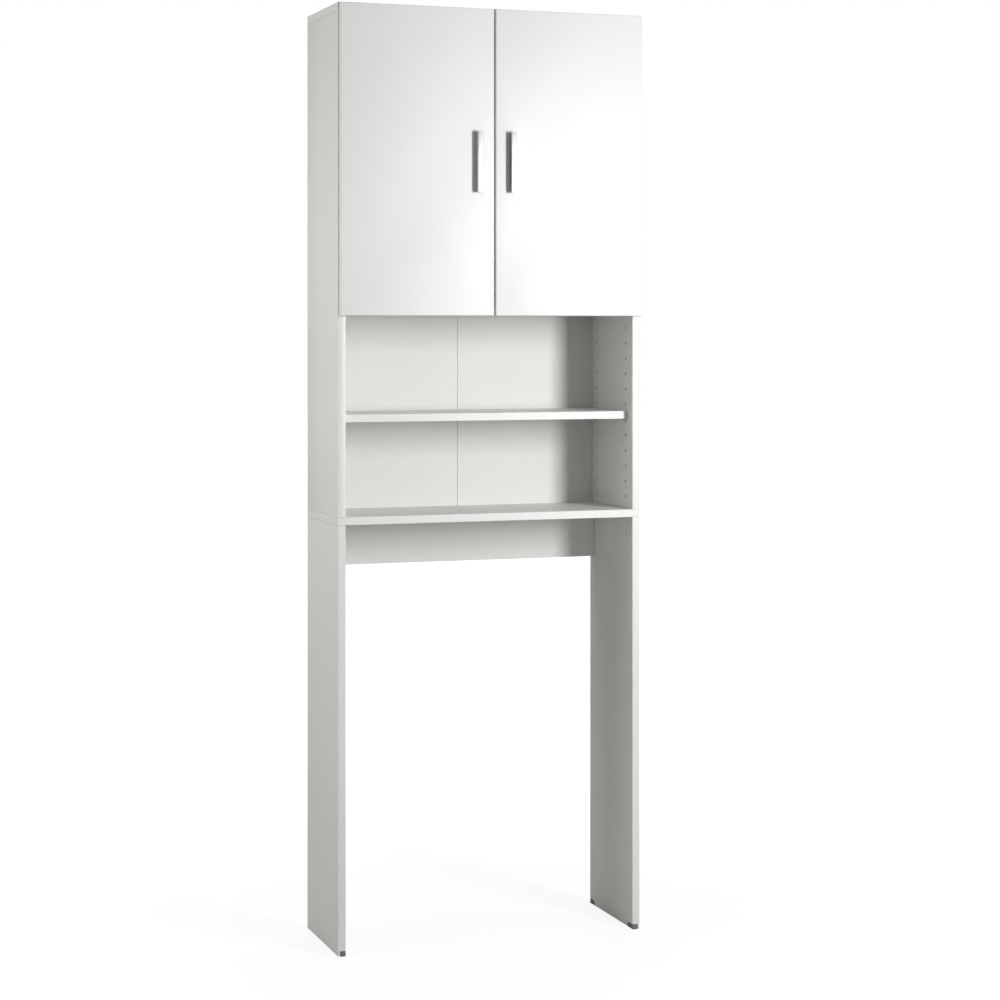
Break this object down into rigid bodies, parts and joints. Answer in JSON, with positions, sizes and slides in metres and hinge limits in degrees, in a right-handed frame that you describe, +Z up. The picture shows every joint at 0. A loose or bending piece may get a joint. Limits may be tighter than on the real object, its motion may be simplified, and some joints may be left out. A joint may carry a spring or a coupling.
{
  "type": "washing machine cabinet",
  "caption": "Tall white cupboard that stands astride a washing machine: leg panels, an open niche with a shelf, and a cupboard above with hinged doors and upright handles.",
  "frame": {"origin": "on the floor, in the middle of the cabinet's width and of its depth with the handles", "axes": "+Z up, +Y to the wall behind, +X to the right seen from the front"},
  "size_m": [0.65, 0.27, 1.9],
  "materials": {
    "white_board": "white melamine-faced chipboard, satin",
    "white_back": "white lacquered fibreboard, satin",
    "white_plastic": "white plastic, satin",
    "black_plastic": "black moulded plastic, matte",
    "satin_metal": "satin metal, pale",
    "hinge_steel": "nickel-plated pressed steel",
    "zinc_steel": "zinc-plated steel"
  },
  "bodies": {
    "carcass": {"left_leg_panel": "white_board", "left_side_panel": "white_board", "left_front_glide": "black_plastic", "left_rear_glide": "black_plastic", "right_leg_panel": "white_board", "right_side_panel": "white_board", "right_front_glide": "black_plastic", "right_rear_glide": "black_plastic", "bottom_board": "white_board", "top_board": "white_board", "middle_shelf": "white_board", "niche_shelf": "white_board", "cupboard_shelf": "white_board", "rear_stretcher": "white_board", "niche_pin_left_front": "zinc_steel", "niche_pin_left_rear": "zinc_steel", "niche_pin_right_front": "zinc_steel", "niche_pin_right_rear": "zinc_steel", "cupboard_pin_left_front": "zinc_steel", "cupboard_pin_left_rear": "zinc_steel", "cupboard_pin_right_front": "zinc_steel", "cupboard_pin_right_rear": "zinc_steel", "left_back_panel": "white_back", "wall_angle_left": "zinc_steel", "wall_angle_screw_left": "zinc_steel", "right_back_panel": "white_back", "wall_angle_right": "zinc_steel", "wall_angle_screw_right": "zinc_steel", "back_joining_strip": "white_plastic", "left_upper_hinge_arm": "hinge_steel", "left_upper_hinge_plate": "hinge_steel", "left_lower_hinge_arm": "hinge_steel", "left_lower_hinge_plate": "hinge_steel", "right_upper_hinge_arm": "hinge_steel", "right_upper_hinge_plate": "hinge_steel", "right_lower_hinge_arm": "hinge_steel", "right_lower_hinge_plate": "hinge_steel"},
    "left_door": {"left_door": "white_board", "left_handle": "satin_metal", "left_handle_screw_upper": "zinc_steel", "left_door_buffer_upper": "white_plastic", "left_upper_hinge_cup": "hinge_steel", "left_handle_screw_lower": "zinc_steel", "left_door_buffer_lower": "white_plastic", "left_lower_hinge_cup": "hinge_steel"},
    "right_door": {"right_door": "white_board", "right_handle": "satin_metal", "right_handle_screw_upper": "zinc_steel", "right_door_buffer_upper": "white_plastic", "right_upper_hinge_cup": "hinge_steel", "right_handle_screw_lower": "zinc_steel", "right_door_buffer_lower": "white_plastic", "right_lower_hinge_cup": "hinge_steel"},
    "left_upper_hinge_link": {"left_upper_hinge_link": "hinge_steel"},
    "left_lower_hinge_link": {"left_lower_hinge_link": "hinge_steel"},
    "right_upper_hinge_link": {"right_upper_hinge_link": "hinge_steel"},
    "right_lower_hinge_link": {"right_lower_hinge_link": "hinge_steel"}
  },
  "joints": [
    {"name": "left_door_hinge", "type": "hinge", "parent": "carcass", "child": "left_door", "pos_m": [-0.317, -0.116, 1.587], "axis": [0, 0, -1], "range_deg": [0, 100]},
    {"name": "right_door_hinge", "type": "hinge", "parent": "carcass", "child": "right_door", "pos_m": [0.317, -0.116, 1.587], "axis": [0, 0, 1], "range_deg": [0, 100]},
    {"name": "left_lower_hinge_link_pin", "type": "hinge", "parent": "carcass", "child": "left_lower_hinge_link", "pos_m": [-0.2963, -0.1085, 1.363], "axis": [0, 0, 1], "range_deg": [0, 50]},
    {"name": "left_upper_hinge_link_pin", "type": "hinge", "parent": "carcass", "child": "left_upper_hinge_link", "pos_m": [-0.2963, -0.1085, 1.811], "axis": [0, 0, 1], "range_deg": [0, 50]},
    {"name": "right_lower_hinge_link_pin", "type": "hinge", "parent": "carcass", "child": "right_lower_hinge_link", "pos_m": [0.2963, -0.1085, 1.363], "axis": [0, 0, -1], "range_deg": [0, 50]},
    {"name": "right_upper_hinge_link_pin", "type": "hinge", "parent": "carcass", "child": "right_upper_hinge_link", "pos_m": [0.2963, -0.1085, 1.811], "axis": [0, 0, -1], "range_deg": [0, 50]}
  ],
  "couplings": [
    {"joint": "left_lower_hinge_link_pin", "follows": "left_door_hinge", "ratio": 0.497},
    {"joint": "left_upper_hinge_link_pin", "follows": "left_door_hinge", "ratio": 0.497},
    {"joint": "right_lower_hinge_link_pin", "follows": "right_door_hinge", "ratio": 0.497},
    {"joint": "right_upper_hinge_link_pin", "follows": "right_door_hinge", "ratio": 0.497}
  ]
}
